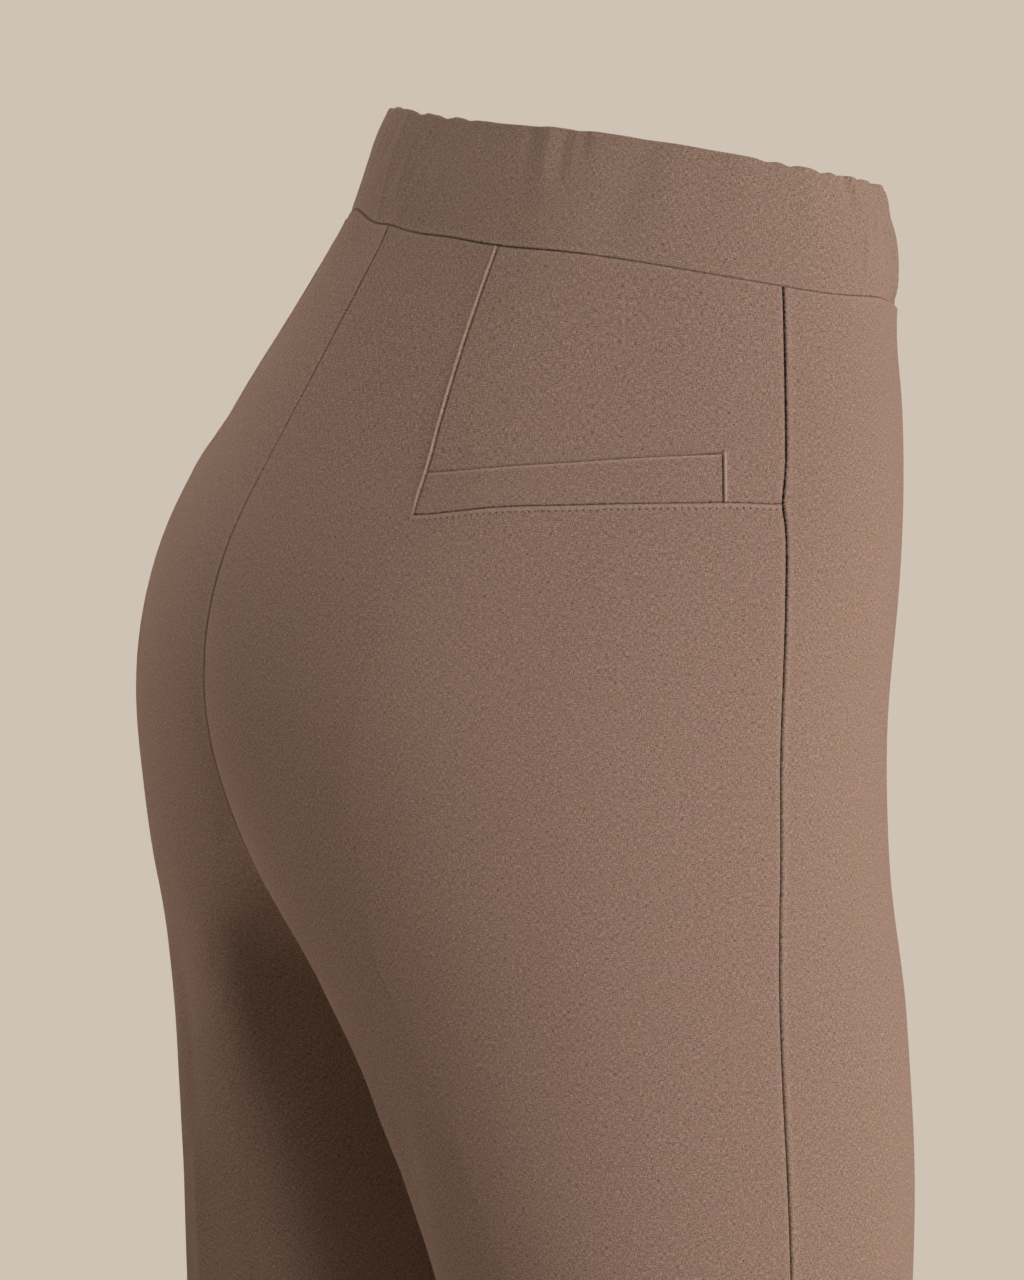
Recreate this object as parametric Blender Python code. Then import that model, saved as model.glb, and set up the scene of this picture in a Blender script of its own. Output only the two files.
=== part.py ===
"""Pull-on flared trousers in stretch crepe, in the hollow form they take when worn.

Frame: metres, +Z up.  The origin is the middle of the waist opening, level with
the top edge of the waistband.  The front of the garment faces -Y, its back +Y.
The wearer's right is -X and the wearer's left is +X.

Pieces, each one closed solid: the waistband, and for each side a back panel, a
side back yoke, a pocket welt that lies on the yoke, and a front panel.

The body is a row of level sections.  Each section of one half is a closed curve
of four quarter ellipses: inner back, outer back, outer front, inner front.
Above the crotch the middle plane cuts it, below the crotch it closes as a leg.
Drops are measured down from the waist opening.  The tables are in millimetres.
"""

from collections import namedtuple
import math

import bmesh
import bpy
import numpy as np

MM = 0.001

# Sizes in millimetres.
SEAM_GAP = 0.3          # between the edges of two pieces that are sewn together
CLOTH_WALL = 1.4
BAND_HEIGHT = 40.8
BAND_WALL = 2.4         # doubled cloth with elastic inside
BAND_PROUD = 0.5        # the band stands out this far past the panels
BAND_FOLD = 0.9         # how far the folded top edge is rounded in
YOKE_DROP = 108.6       # the level seam under the yoke and the welt
CROTCH_DROP = 280.0
HEM_DROP = 1060.0
WELT_HEIGHT = 14.0
WELT_END = 23.0         # from the welt's front end to the side seam
WELT_LIFT = 0.4         # clear of the yoke that it lies on
WELT_WALL = 1.3

# drop: level of the section.  half_width, wide_y: its outermost point.
# back_x, back_y and front_x, front_y: its back and front peaks.
# inner_y: how far back its innermost point is.  seam_y: where the side seam
# crosses it.  tilt: degrees, the back being higher.
Station = namedtuple(
    "Station",
    "drop half_width wide_y back_x back_y front_x front_y inner_y seam_y tilt",
)
STATIONS = [
    Station(0, 118.5, 0, 0, 79.5, 0, -71, 0, 8, 11.0),
    Station(14, 123, 2, 0, 86.5, 0, -78.5, 2, 8.5, 11.0),
    Station(42, 130, 6, 0, 97.5, 0, -76.5, 6, 10, 10.5),
    Station(85, 154, 22, 7, 134, 0, -72.5, 20, 21, -2.0),
    Station(126, 171, 34, 13, 160.5, 0, -70, 34, 29, -3.6),
    Station(160, 174.5, 42, 17, 169.5, 2, -67.5, 40, 31, -3.0),
    Station(193, 175, 48, 22, 169.5, 6, -64, 42, 32, -1.5),
    Station(228, 175, 47, 31, 162, 22, -60, 42, 32, 0),
    Station(252, 174, 45, 40, 154, 43, -57, 42, 32, 0),
    Station(280, 173, 41, 48, 143.5, 66, -55, 42, 31.5, 0),
    Station(310, 172.5, 37, 59, 132, 77, -54.5, 40.5, 30, 0),
    Station(340, 172, 34, 69, 122, 83, -54.5, 38, 28, 0),
    Station(395, 171.5, 30, 80, 106, 87, -52, 32, 26, 0),
    Station(470, 169, 27, 86, 93, 88, -47.5, 27, 25, 0),
    Station(600, 165, 24, 93, 86, 93, -45, 23, 24, 0),
    Station(800, 178, 23, 99, 98, 99, -54, 23, 23, 0),
    Station(1060, 198, 23, 105, 116, 105, -70, 23, 23, 0),
]

# How far the innermost point of one half reaches: past the middle plane above
# the crotch, where the plane cuts it, and short of it in the leg below.
Fork = namedtuple("Fork", "drop past_middle")
FORK = [
    Fork(0, 122),
    Fork(42, 124),
    Fork(85, 124),
    Fork(126, 108),
    Fork(160, 98),
    Fork(193, 91),
    Fork(228, 76),
    Fork(240, 67.5),
    Fork(252, 53),
    Fork(260, 37.5),
    Fork(266, 23.5),
    Fork(272, 11),
    Fork(276, 4.5),
    Fork(280, 0),
    Fork(285, -2.4),
    Fork(292, -3.6),
    Fork(310, -4.4),
    Fork(340, -4.5),
    Fork(395, -5),
    Fork(470, -10),
    Fork(600, -21),
    Fork(800, -20),
    Fork(1060, -13),
]

# How far back the wearer's left leg hangs from where the right one does.
Stance = namedtuple("Stance", "drop back")
LEFT_STANCE = [
    Stance(0, 0),
    Stance(200, 0),
    Stance(250, 3),
    Stance(290, 8),
    Stance(340, 17),
    Stance(400, 28),
    Stance(480, 35),
    Stance(600, 40),
    Stance(1060, 42),
]
STANCE_REACH = 60.0     # from the middle seam to where the whole stance is taken
STANCE_FADE = 90.0      # below the crotch, to where the inner leg takes it too

# A line down each panel, as a distance round from the side seam.  On the back
# panel, above the yoke's lower edge, this line is the seam beside the yoke.
Guide = namedtuple("Guide", "drop back front")
GUIDES = [
    Guide(42, 106, 90),
    Guide(75, 121.5, 95),
    Guide(109, 133, 98),
    Guide(180, 138, 102),
    Guide(280, 138, 105),
    Guide(400, 130, 100),
    Guide(600, 108, 85),
    Guide(1060, 145, 115),
]

# Soft folds and flutes of the legs.  place: distance round from the side seam,
# positive towards the back.  They grow from start to full and die away from
# fade to end.  depth is positive for a ridge, negative for a trough.
Fold = namedtuple("Fold", "side place width start full fade end depth")
FOLDS = [
    Fold("left", 128, 13, 340, 430, 560, 760, 3.5),
    Fold("left", 104, 12, 350, 440, 560, 740, -3.0),
    Fold("right", 96, 16, 430, 540, 640, 800, 2.5),
    Fold("right", -92, 16, 440, 540, 620, 780, 2.0),
    Fold("right", 142, 32, 600, 980, 1060, 1400, 8.0),
    Fold("right", 76, 24, 660, 990, 1060, 1400, -4.5),
    Fold("right", 216, 25, 690, 1000, 1060, 1400, -4.0),
    Fold("right", -136, 31, 580, 960, 1060, 1400, 9.0),
    Fold("right", -68, 25, 680, 1000, 1060, 1400, -5.0),
    Fold("right", -210, 24, 640, 990, 1060, 1400, -4.0),
    Fold("left", 150, 31, 620, 980, 1060, 1400, 8.5),
    Fold("left", 84, 25, 640, 980, 1060, 1400, -5.0),
    Fold("left", 220, 25, 680, 1000, 1060, 1400, -3.5),
    Fold("left", -144, 32, 600, 970, 1060, 1400, 8.5),
    Fold("left", -78, 24, 660, 990, 1060, 1400, -4.0),
    Fold("left", -216, 26, 660, 980, 1060, 1400, -4.5),
]

# Where the seams aren't level: how far the cloth is drawn up, or down if negative,
# at a place round from the side seam, over a width round and a reach in drop.
Draw = namedtuple("Draw", "place drop width reach up")
DRAWN = [
    Draw(110, 22, 30, 40, -3.0),
    Draw(63, 103, 44, 24, 3.8),
]

# Gathers of the elasticated band.  middle: "back" or "front" of the band.
# reach: how far they spread each way round.  pitch: from one to the next.
Gather = namedtuple("Gather", "middle reach pitch depth")
GATHERS = [
    Gather("back", 88.0, 15.0, 0.55),
    Gather("front", 118.0, 14.0, 0.75),
]

# Rows of the band's cross-section, from the top edge down the outside and back
# up the inside.  out: from the body's surface.  gathered: share of the gathers.
BandRow = namedtuple("BandRow", "drop out gathered")
BAND_BOTTOM = BAND_HEIGHT - SEAM_GAP / 2
BAND_INSIDE = BAND_PROUD - BAND_WALL
BAND_ROWS = [
    BandRow(0.0, BAND_PROUD - BAND_FOLD, 0.5),
    BandRow(BAND_FOLD, BAND_PROUD, 1.0),
    BandRow(10.0, BAND_PROUD, 1.0),
    BandRow(20.0, BAND_PROUD, 0.9),
    BandRow(31.0, BAND_PROUD, 0.7),
    BandRow(BAND_BOTTOM, BAND_PROUD, 0.4),
    BandRow(BAND_BOTTOM, BAND_INSIDE, 0.0),
    BandRow(21.0, BAND_INSIDE, 0.0),
    BandRow(BAND_FOLD, BAND_INSIDE, 0.0),
    BandRow(0.0, BAND_INSIDE + BAND_FOLD, 0.0),
]
BAND_GATHER_STEP = 3.4
BAND_PLAIN_STEP = 11.0

# Rows and columns of the walls.
YOKE_ROWS = 4
SEAT_ROWS = 12
FORK_ROWS = 5
FORK_DEPTH = 60.0
LEG_ROWS = 13
BACK_COLUMNS = (8, 9)   # middle edge to guide line, guide line to side seam
FRONT_COLUMNS = (7, 7)
WELT_COLUMNS = 10
WELT_ROWS = 2

QUARTER_STEPS = 160     # points on each quarter of a section's curve
SLOPE_STEP = 0.5        # half the step over which a slope is measured

# Linear colours of the crepe.
COLOURS = {
    "waistband": (0.225, 0.148, 0.116),
    "back": (0.238, 0.156, 0.122),
    "yoke": (0.230, 0.151, 0.118),
    "welt": (0.245, 0.161, 0.126),
    "front": (0.242, 0.159, 0.124),
}
CREPE_ROUGHNESS = 0.85
SHARP_ANGLE = math.radians(40)


def smooth(value):
    """Ease from 0 to 1, flat at both ends."""
    value = np.clip(value, 0.0, 1.0)
    return value * value * (3 - 2 * value)


def spline(xs, ys):
    """Natural cubic spline through the points, as a function of x."""
    xs = np.asarray(xs, float)
    ys = np.asarray(ys, float)
    count = len(xs)
    step = np.diff(xs)
    matrix = np.eye(count)
    right = np.zeros(count)
    for i in range(1, count - 1):
        matrix[i, i - 1] = step[i - 1]
        matrix[i, i] = 2 * (step[i - 1] + step[i])
        matrix[i, i + 1] = step[i]
        right[i] = 6 * ((ys[i + 1] - ys[i]) / step[i] - (ys[i] - ys[i - 1]) / step[i - 1])
    bend = np.linalg.solve(matrix, right)

    def value(x):
        i = int(np.clip(np.searchsorted(xs, x) - 1, 0, count - 2))
        width = step[i]
        a = (xs[i + 1] - x) / width
        b = (x - xs[i]) / width
        cubic = ((a ** 3 - a) * bend[i] + (b ** 3 - b) * bend[i + 1]) * width * width / 6
        return a * ys[i] + b * ys[i + 1] + cubic

    return value


def column_splines(table):
    """One spline over the drop for each other column of a table."""
    drops = [row.drop for row in table]
    names = [name for name in table[0]._fields if name != "drop"]
    return {name: spline(drops, [getattr(row, name) for row in table]) for name in names}


SHAPE = column_splines(STATIONS)
PAST_MIDDLE = column_splines(FORK)["past_middle"]
STANCE = column_splines(LEFT_STANCE)
GUIDE = column_splines(GUIDES)


def quarter(centre, reach, first_turn):
    """A quarter ellipse that starts this many quarter turns from +X."""
    angle = np.linspace(first_turn, first_turn + 1, QUARTER_STEPS) * math.pi / 2
    x = centre[0] + reach[0] * np.cos(angle)
    y = centre[1] + reach[1] * np.sin(angle)
    return np.stack([x, y], axis=1)


class Section:
    """One level of one half: a closed curve and the places of its seams.

    The curve starts at the innermost point, goes round the back to the side
    seam, and comes back round the front.  Places on it are lengths along it.
    """

    def __init__(self, side, drop):
        shape = {name: value(drop) for name, value in SHAPE.items()}
        inner_x = PAST_MIDDLE(drop)
        if drop > CROTCH_DROP - SEAM_GAP:
            inner_x = min(inner_x, -SEAM_GAP / 2)
        wide = (shape["half_width"], shape["wide_y"])
        back = (shape["back_x"], shape["back_y"])
        front = (shape["front_x"], shape["front_y"])
        inner_y = shape["inner_y"]
        inner_back = quarter((-back[0], inner_y), (inner_x + back[0], back[1] - inner_y), 0)
        outer_back = quarter((-back[0], wide[1]), (wide[0] - back[0], back[1] - wide[1]), 1)
        outer_front = quarter((-front[0], wide[1]), (wide[0] - front[0], wide[1] - front[1]), 2)
        inner_front = quarter((-front[0], inner_y), (inner_x + front[0], inner_y - front[1]), 3)
        self.side = side
        self.drop = drop
        self.wide_y = wide[1]
        self.slope = math.tan(math.radians(shape["tilt"]))
        self.curve = np.concatenate([inner_back, outer_back[1:], outer_front[1:], inner_front[1:]])
        steps = np.hypot(*np.diff(self.curve, axis=0).T)
        self.length = np.concatenate([[0.0], np.cumsum(steps)])
        turn = QUARTER_STEPS - 1
        cut = SEAM_GAP / 2
        self.back_peak = self.length[turn]
        self.front_peak = self.length[3 * turn]
        self.back_edge = max(cut, self.where(0, 2 * turn, 0, -cut))
        self.front_edge = min(self.length[-1] - cut, self.where(2 * turn, 4 * turn, 0, -cut))
        self.side_seam = self.where(turn, 3 * turn, 1, shape["seam_y"])

    def where(self, first, last, axis, value):
        """Length along the curve at which a coordinate passes a value."""
        values = self.curve[first:last + 1, axis]
        lengths = self.length[first:last + 1]
        if values[0] > values[-1]:
            values = values[::-1]
            lengths = lengths[::-1]
        return float(np.interp(value, values, lengths))

    def on_curve(self, lengths):
        """X and Y of the plain curve at these lengths."""
        x = np.interp(lengths, self.length, self.curve[:, 0])
        y = np.interp(lengths, self.length, self.curve[:, 1])
        return x, y

    def points(self, lengths):
        """Points in millimetres at these lengths, with folds and stance."""
        lengths = np.asarray(lengths, float)
        x, y = self.on_curve(lengths)
        ahead = self.on_curve(lengths + SLOPE_STEP)
        behind = self.on_curve(lengths - SLOPE_STEP)
        along_x = ahead[0] - behind[0]
        along_y = ahead[1] - behind[1]
        place = self.side_seam - lengths
        push = self.fold_depth(place) / np.hypot(along_x, along_y)
        x = x + push * along_y
        y = y - push * along_x
        z = self.slope * (y - self.wide_y) - self.drop + self.drawn_up(place)
        if self.side == "left":
            y = y + STANCE["back"](self.drop) * self.stance_share(x)
            x = -x
        return np.stack([x, y, z], axis=1)

    def fold_depth(self, place):
        """How far the folds push the cloth out, by distance round the leg."""
        depth = np.zeros_like(place)
        for fold in FOLDS:
            if fold.side != self.side or not fold.start < self.drop < fold.end:
                continue
            grown = smooth((self.drop - fold.start) / (fold.full - fold.start))
            left = smooth((fold.end - self.drop) / (fold.end - fold.fade))
            bump = np.exp(-((place - fold.place) / fold.width) ** 2)
            depth = depth + fold.depth * grown * left * bump
        return depth

    def drawn_up(self, place):
        """How far the cloth is drawn up, by distance round from the side seam."""
        height = np.zeros_like(place)
        for draw in DRAWN:
            share = math.exp(-((self.drop - draw.drop) / draw.reach) ** 2)
            height = height + draw.up * share * np.exp(-((place - draw.place) / draw.width) ** 2)
        return height

    def stance_share(self, x):
        """How much of the stance a point takes: none on the middle seam."""
        by_place = smooth(-x / STANCE_REACH)
        below = smooth((self.drop - CROTCH_DROP) / STANCE_FADE)
        return by_place + (1 - by_place) * below


def surface(side, drop, lengths):
    """Points and outward normals at lengths along one section."""
    section = Section(side, drop)
    higher = Section(side, drop - SLOPE_STEP)
    lower = Section(side, drop + SLOPE_STEP)
    from_seam = lengths - section.side_seam
    along = section.points(lengths + SLOPE_STEP) - section.points(lengths - SLOPE_STEP)
    down = lower.points(lower.side_seam + from_seam) - higher.points(higher.side_seam + from_seam)
    normal = np.cross(down, along) if side == "right" else np.cross(along, down)
    normal /= np.linalg.norm(normal, axis=1)[:, None]
    return section.points(lengths), normal


def yoke_drops():
    """Levels of the rows of the yoke, and of the strip beside it."""
    return np.linspace(BAND_HEIGHT + SEAM_GAP / 2, YOKE_DROP - SEAM_GAP / 2, YOKE_ROWS + 1)


def panel_drops():
    """Levels of the rows that back and front panels share, top to hem."""
    seat_top = YOKE_DROP + SEAM_GAP / 2
    still_to_go = 1 - np.linspace(0, 1, SEAT_ROWS + 1)
    seat = CROTCH_DROP - (CROTCH_DROP - seat_top) * still_to_go ** 2
    fork = CROTCH_DROP + FORK_DEPTH * np.linspace(0, 1, FORK_ROWS + 1)[1:] ** 2
    leg = np.linspace(CROTCH_DROP + FORK_DEPTH, HEM_DROP, LEG_ROWS + 1)[1:]
    return np.concatenate([yoke_drops()[:-1], seat, fork, leg])


def panel_lengths(section, panel, columns):
    """Lengths along a section at a panel's columns, middle edge to side seam."""
    guide = GUIDE[panel](section.drop)
    if panel == "back":
        beside_yoke = SEAM_GAP / 2 if section.drop < YOKE_DROP else 0.0
        edge = section.back_edge
        line = section.side_seam - guide - beside_yoke
        seam = section.side_seam - SEAM_GAP / 2
    else:
        edge = section.front_edge
        line = section.side_seam + guide
        seam = section.side_seam + SEAM_GAP / 2
    inner = np.linspace(edge, line, columns[0] + 1)
    outer = np.linspace(line, seam, columns[1] + 1)
    return np.concatenate([inner, outer[1:]])


def yoke_lengths(section, reach, columns):
    """Lengths from the seam beside the strip towards the side seam."""
    start = section.side_seam - GUIDE["back"](section.drop) + SEAM_GAP / 2
    return np.linspace(start, start + reach, columns + 1)


def sheet_pair(side, rows, out, wall):
    """Outer and inner points of a wall, for rows of a drop and its lengths."""
    outer = []
    inner = []
    for drop, lengths in rows:
        points, normals = surface(side, drop, lengths)
        outer.append(points + out * normals)
        inner.append(points + (out - wall) * normals)
    return np.array(outer), np.array(inner)


def panel_rows(side, panel, columns):
    """Rows of a back or front panel."""
    return [(drop, panel_lengths(Section(side, drop), panel, columns)) for drop in panel_drops()]


def make_back(name, side):
    """Back panel: a strip beside the yoke, and the whole width below it."""
    outer, inner = sheet_pair(side, panel_rows(side, "back", BACK_COLUMNS), 0.0, CLOTH_WALL)
    cells = np.ones((outer.shape[0] - 1, outer.shape[1] - 1), bool)
    cells[:YOKE_ROWS, BACK_COLUMNS[0]:] = False
    return wall_mesh(name, outer, inner, cells)


def make_front(name, side):
    """Front panel, from the band to the hem."""
    outer, inner = sheet_pair(side, panel_rows(side, "front", FRONT_COLUMNS), 0.0, CLOTH_WALL)
    cells = np.ones((outer.shape[0] - 1, outer.shape[1] - 1), bool)
    return wall_mesh(name, outer, inner, cells)


def make_yoke(name, side):
    """Side back yoke, between the strip, the side seam and the level seam."""
    rows = []
    for drop in yoke_drops():
        section = Section(side, drop)
        rows.append((drop, yoke_lengths(section, GUIDE["back"](drop) - SEAM_GAP, BACK_COLUMNS[1])))
    outer, inner = sheet_pair(side, rows, 0.0, CLOTH_WALL)
    return wall_mesh(name, outer, inner, np.ones((YOKE_ROWS, BACK_COLUMNS[1]), bool))


def make_welt(name, side):
    """Pocket welt: a strip laid on the yoke along its lower edge."""
    bottom = YOKE_DROP - SEAM_GAP / 2
    rows = []
    for drop in np.linspace(bottom - WELT_HEIGHT, bottom, WELT_ROWS + 1):
        reach = GUIDE["back"](drop) - SEAM_GAP / 2 - WELT_END
        rows.append((drop, yoke_lengths(Section(side, drop), reach, WELT_COLUMNS)))
    outer, inner = sheet_pair(side, rows, WELT_LIFT + WELT_WALL, WELT_WALL)
    return wall_mesh(name, outer, inner, np.ones((WELT_ROWS, WELT_COLUMNS), bool))


def gather_depth(from_back, from_front):
    """How far the band's gathers stand out at a place round it."""
    depth = 0.0
    for gather in GATHERS:
        away = from_back if gather.middle == "back" else from_front
        envelope = smooth(1.25 * (1 - abs(away) / gather.reach))
        turn = 2 * math.pi * away / gather.pitch
        uneven = math.sin(turn + 1.1 * math.sin(0.31 * turn))
        slow = math.sin(0.63 * turn + 0.8)
        depth += gather.depth * envelope * (0.65 * uneven + 0.35 * slow)
    return depth


def band_places():
    """Places round one half of the band, as shares of the way to the front."""
    section = Section("right", BAND_HEIGHT / 2)
    half = section.front_peak - section.back_peak
    reach = {gather.middle: gather.reach for gather in GATHERS}
    front_start = half - reach["front"]
    back_count = round(reach["back"] / BAND_GATHER_STEP)
    plain_count = round((front_start - reach["back"]) / BAND_PLAIN_STEP)
    front_count = round(reach["front"] / BAND_GATHER_STEP)
    back = np.linspace(0, reach["back"], back_count + 1)
    plain = np.linspace(reach["back"], front_start, plain_count + 1)
    front = np.linspace(front_start, half, front_count + 1)
    return np.concatenate([back[:-1], plain[:-1], front]) / half


def band_ring(row):
    """One ring of points of the band."""
    shares = band_places()
    halves = {}
    for side, turn in (("right", 1), ("left", -1)):
        section = Section(side, row.drop)
        half = section.front_peak - section.back_peak
        points, normals = surface(side, row.drop, section.back_peak + shares * half)
        depth = [gather_depth(turn * share * half, turn * (1 - share) * half) for share in shares]
        out = row.out + row.gathered * np.array(depth)
        halves[side] = points + out[:, None] * normals
    return np.concatenate([halves["right"], halves["left"][-2:0:-1]])


def make_band(name):
    """Waistband: one ring, gathered outside over a plain inside."""
    bm = bmesh.new()
    loops = [[bm.verts.new(point * MM) for point in band_ring(row)] for row in BAND_ROWS]
    count = len(loops[0])
    for row, below in zip(loops, loops[1:] + loops[:1]):
        for c in range(count):
            after = (c + 1) % count
            bm.faces.new([row[c], below[c], below[after], row[after]])
    return finish_mesh(name, bm)


def wall_mesh(name, outer, inner, cells):
    """A closed wall: an outer and an inner sheet over the marked grid cells."""
    bm = bmesh.new()
    corners = np.zeros(outer.shape[:2], bool)
    for r, c in zip(*np.nonzero(cells)):
        corners[r:r + 2, c:c + 2] = True
    outside = {}
    inside = {}
    for r, c in zip(*np.nonzero(corners)):
        outside[r, c] = bm.verts.new(outer[r, c] * MM)
        inside[r, c] = bm.verts.new(inner[r, c] * MM)
    rims = set()
    for r, c in zip(*np.nonzero(cells)):
        ring = [(r, c), (r + 1, c), (r + 1, c + 1), (r, c + 1)]
        bm.faces.new([outside[corner] for corner in ring])
        bm.faces.new([inside[corner] for corner in reversed(ring)])
        for start, end in zip(ring, ring[1:] + ring[:1]):
            if (end, start) in rims:
                rims.remove((end, start))
            else:
                rims.add((start, end))
    for start, end in sorted(rims):
        bm.faces.new([outside[end], outside[start], inside[start], inside[end]])
    return finish_mesh(name, bm)


def finish_mesh(name, bm):
    """Turn the faces out and hand over a smooth shaded mesh."""
    bmesh.ops.recalc_face_normals(bm, faces=bm.faces)
    mesh = bpy.data.meshes.new(name)
    bm.to_mesh(mesh)
    bm.free()
    mesh.shade_smooth()
    mesh.set_sharp_from_angle(angle=SHARP_ANGLE)
    return mesh


def crepe(name, colour):
    """Principled crepe with a colour in linear values."""
    material = bpy.data.materials.new(name)
    material.use_nodes = True
    shader = material.node_tree.nodes["Principled BSDF"]
    shader.inputs["Base Color"].default_value = (*colour, 1.0)
    shader.inputs["Roughness"].default_value = CREPE_ROUGHNESS
    shader.inputs["Metallic"].default_value = 0.0
    material.diffuse_color = (*colour, 1.0)
    return material


def add_piece(name, mesh, colour):
    """Put one piece into the scene with a material of its own."""
    mesh.materials.append(crepe(name + "_crepe", colour))
    piece = bpy.data.objects.new(name, mesh)
    bpy.context.scene.collection.objects.link(piece)


def main():
    for item in list(bpy.data.objects):
        bpy.data.objects.remove(item, do_unlink=True)
    add_piece("waistband", make_band("waistband"), COLOURS["waistband"])
    makers = {"back": make_back, "yoke": make_yoke, "welt": make_welt, "front": make_front}
    for side in ("right", "left"):
        for kind, maker in makers.items():
            name = kind + "_" + side
            add_piece(name, maker(name, side), COLOURS[kind])


main()
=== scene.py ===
import math

import bmesh
import bpy
import numpy as np
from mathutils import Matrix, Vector


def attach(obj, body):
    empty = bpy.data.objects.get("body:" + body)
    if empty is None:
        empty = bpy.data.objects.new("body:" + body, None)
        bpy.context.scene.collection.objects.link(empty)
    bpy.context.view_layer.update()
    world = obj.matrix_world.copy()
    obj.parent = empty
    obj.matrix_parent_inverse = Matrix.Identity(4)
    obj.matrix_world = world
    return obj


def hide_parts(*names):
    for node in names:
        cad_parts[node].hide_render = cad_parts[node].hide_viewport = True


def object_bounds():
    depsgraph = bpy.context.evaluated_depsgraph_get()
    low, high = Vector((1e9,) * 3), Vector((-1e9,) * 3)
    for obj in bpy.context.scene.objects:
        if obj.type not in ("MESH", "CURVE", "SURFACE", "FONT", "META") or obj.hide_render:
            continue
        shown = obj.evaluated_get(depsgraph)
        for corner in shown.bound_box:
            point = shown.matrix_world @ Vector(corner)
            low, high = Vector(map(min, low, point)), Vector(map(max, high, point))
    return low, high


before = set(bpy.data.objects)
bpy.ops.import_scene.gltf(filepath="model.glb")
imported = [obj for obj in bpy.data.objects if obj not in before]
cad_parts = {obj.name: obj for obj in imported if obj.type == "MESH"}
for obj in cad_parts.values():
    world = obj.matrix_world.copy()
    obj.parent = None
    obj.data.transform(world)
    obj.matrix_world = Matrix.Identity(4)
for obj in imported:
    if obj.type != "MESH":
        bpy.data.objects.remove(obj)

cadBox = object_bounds()
mm = 0.001
print("scene: frame loaded")

# Pull-on flared trousers in stretch crepe, hollow as worn.  Drops are measured
# down from the waist opening, places are measured round from the side seam and
# are positive towards the back.  Both are in millimetres, as in the solids.

sewing = {
    "seamGap": 0.12,        # between two rolled edges, finer than in the solids
    "clothWall": 1.4,
    "puckerDepth": 0.07,    # small unevenness that the stitches pull into a seam
    "puckerReach": 6.0,
    "kink": -1.4,           # the side seam bends towards the back at the yoke's corner
    "kinkReach": 7.0,
    "shadeFadeFrom": 110,        # the side seam's painted shade is paler from this drop down, over this far and by this much
    "shadeFadeOver": 150,        # over this far
    "shadeFadeShare": 0.45,      # and by this much
    "bandSeamDarkest": 95,  # the place behind the hip where the band's seam has its darkest painted shade, how far round it stays so and the share of that painted shade elsewhere
    "bandSeamReach": 34,    # how far round it stays so
    "bandSeamLeastShade": 0.35,  # and its depth elsewhere
}
bandHeight = 40.8
yokeDrop = 108.6
crotchDrop = 280.0
hemDrop = 1060.0

stationColumns = "drop halfWidth wideY backX backY frontX frontY innerY seamY tilt".split()
stations = [
    (0, 118.5, 0, 0, 79.5, 0, -71, 0, 8, 11.0),
    (14, 123, 2, 0, 86.5, 0, -77.4, 2, 8.5, 11.0),
    (42, 130, 6, 0, 97.5, 0, -76.8, 6, 10, 10.5),
    (85, 154, 22, 7, 134, 0, -73.6, 20, 21, -2.0),
    (126, 171, 34, 13, 159.2, 0, -70.8, 34, 29, -3.6),
    (160, 174.5, 42, 17, 168, 2, -68.4, 40, 31, -3.0),
    (193, 175, 48, 22, 168, 6, -64.7, 42, 32, -1.5),
    (228, 175, 47, 31, 161.2, 22, -60.5, 42, 32, 0),
    (252, 174, 45, 40, 154, 43, -57, 42, 32, 0),
    (280, 173, 41, 48, 143.5, 66, -55, 42, 31.5, 0),
    (310, 172.5, 37, 59, 132, 77, -54.5, 40.5, 30, 0),
    (340, 172, 34, 69, 122, 83, -54.5, 38, 28, 0),
    (395, 171.5, 30, 80, 106, 87, -52, 32, 26, 0),
    (470, 169, 27, 86, 93, 88, -47.5, 27, 25, 0),
    (600, 165, 24, 93, 86, 93, -45, 23, 24, 0),
    (800, 178, 23, 99, 98, 99, -54, 23, 23, 0),
    (1060, 198, 23, 105, 116, 105, -70, 23, 23, 0),
]
forkColumns = "drop pastMiddle".split()
fork = [
    (0, 122), (42, 124), (85, 124), (126, 108), (160, 98), (193, 91), (228, 76),
    (240, 67.5), (252, 53), (260, 37.5), (266, 23.5), (272, 11), (276, 4.5), (280, 0),
    (285, -2.4), (292, -3.6), (310, -4.4), (340, -4.5), (395, -5), (470, -10),
    (600, -21), (800, -20), (1060, -13),
]
stanceColumns = "drop back".split()
leftStance = [
    (0, 0), (200, 0), (250, 2.5), (290, 6.5), (340, 15.5), (400, 27.5), (480, 34), (600, 40), (1060, 42),
]
stanceReach = 60.0
stanceFade = 90.0
guideColumns = "drop back front".split()
guides = [
    (42, 106, 90), (75, 121.5, 95), (109, 133, 98), (180, 138, 102), (280, 138, 105),
    (400, 130, 100), (600, 108, 85), (1060, 145, 115),
]
# side, place, drop, width, reach and how far the cloth is drawn up there.
drawn = [
    ("both", 110, 22, 30, 40, -3.0),
    ("both", 63, 103, 44, 24, 3.8),
    ("both", 152, 42, 20, 20, -2.0),
    ("both", 148, 3, 20, 18, -1.8),
    ("both", -50, 42, 24, 20, 2.2),
    ("left", 130, 42, 22, 19, 5.2),
    ("left", 112, 4, 16, 18, 1.7),
    ("both", 140, 93, 40, 9, -2.0),     # the welt's own slant, left out of the solids
    ("both", 12, 93, 30, 9, 1.5),
    ("both", 72, 94, 22, 7, -0.8),
    ("both", 102, 109, 24, 9, 1.9),     # the level seam runs straighter
    ("both", 0, 109, 13, 9, -1.7),      # and drops to the side seam
    ("both", -118, 0, 32, 14, -5.5),    # the band's top edge dips in front
]

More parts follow.
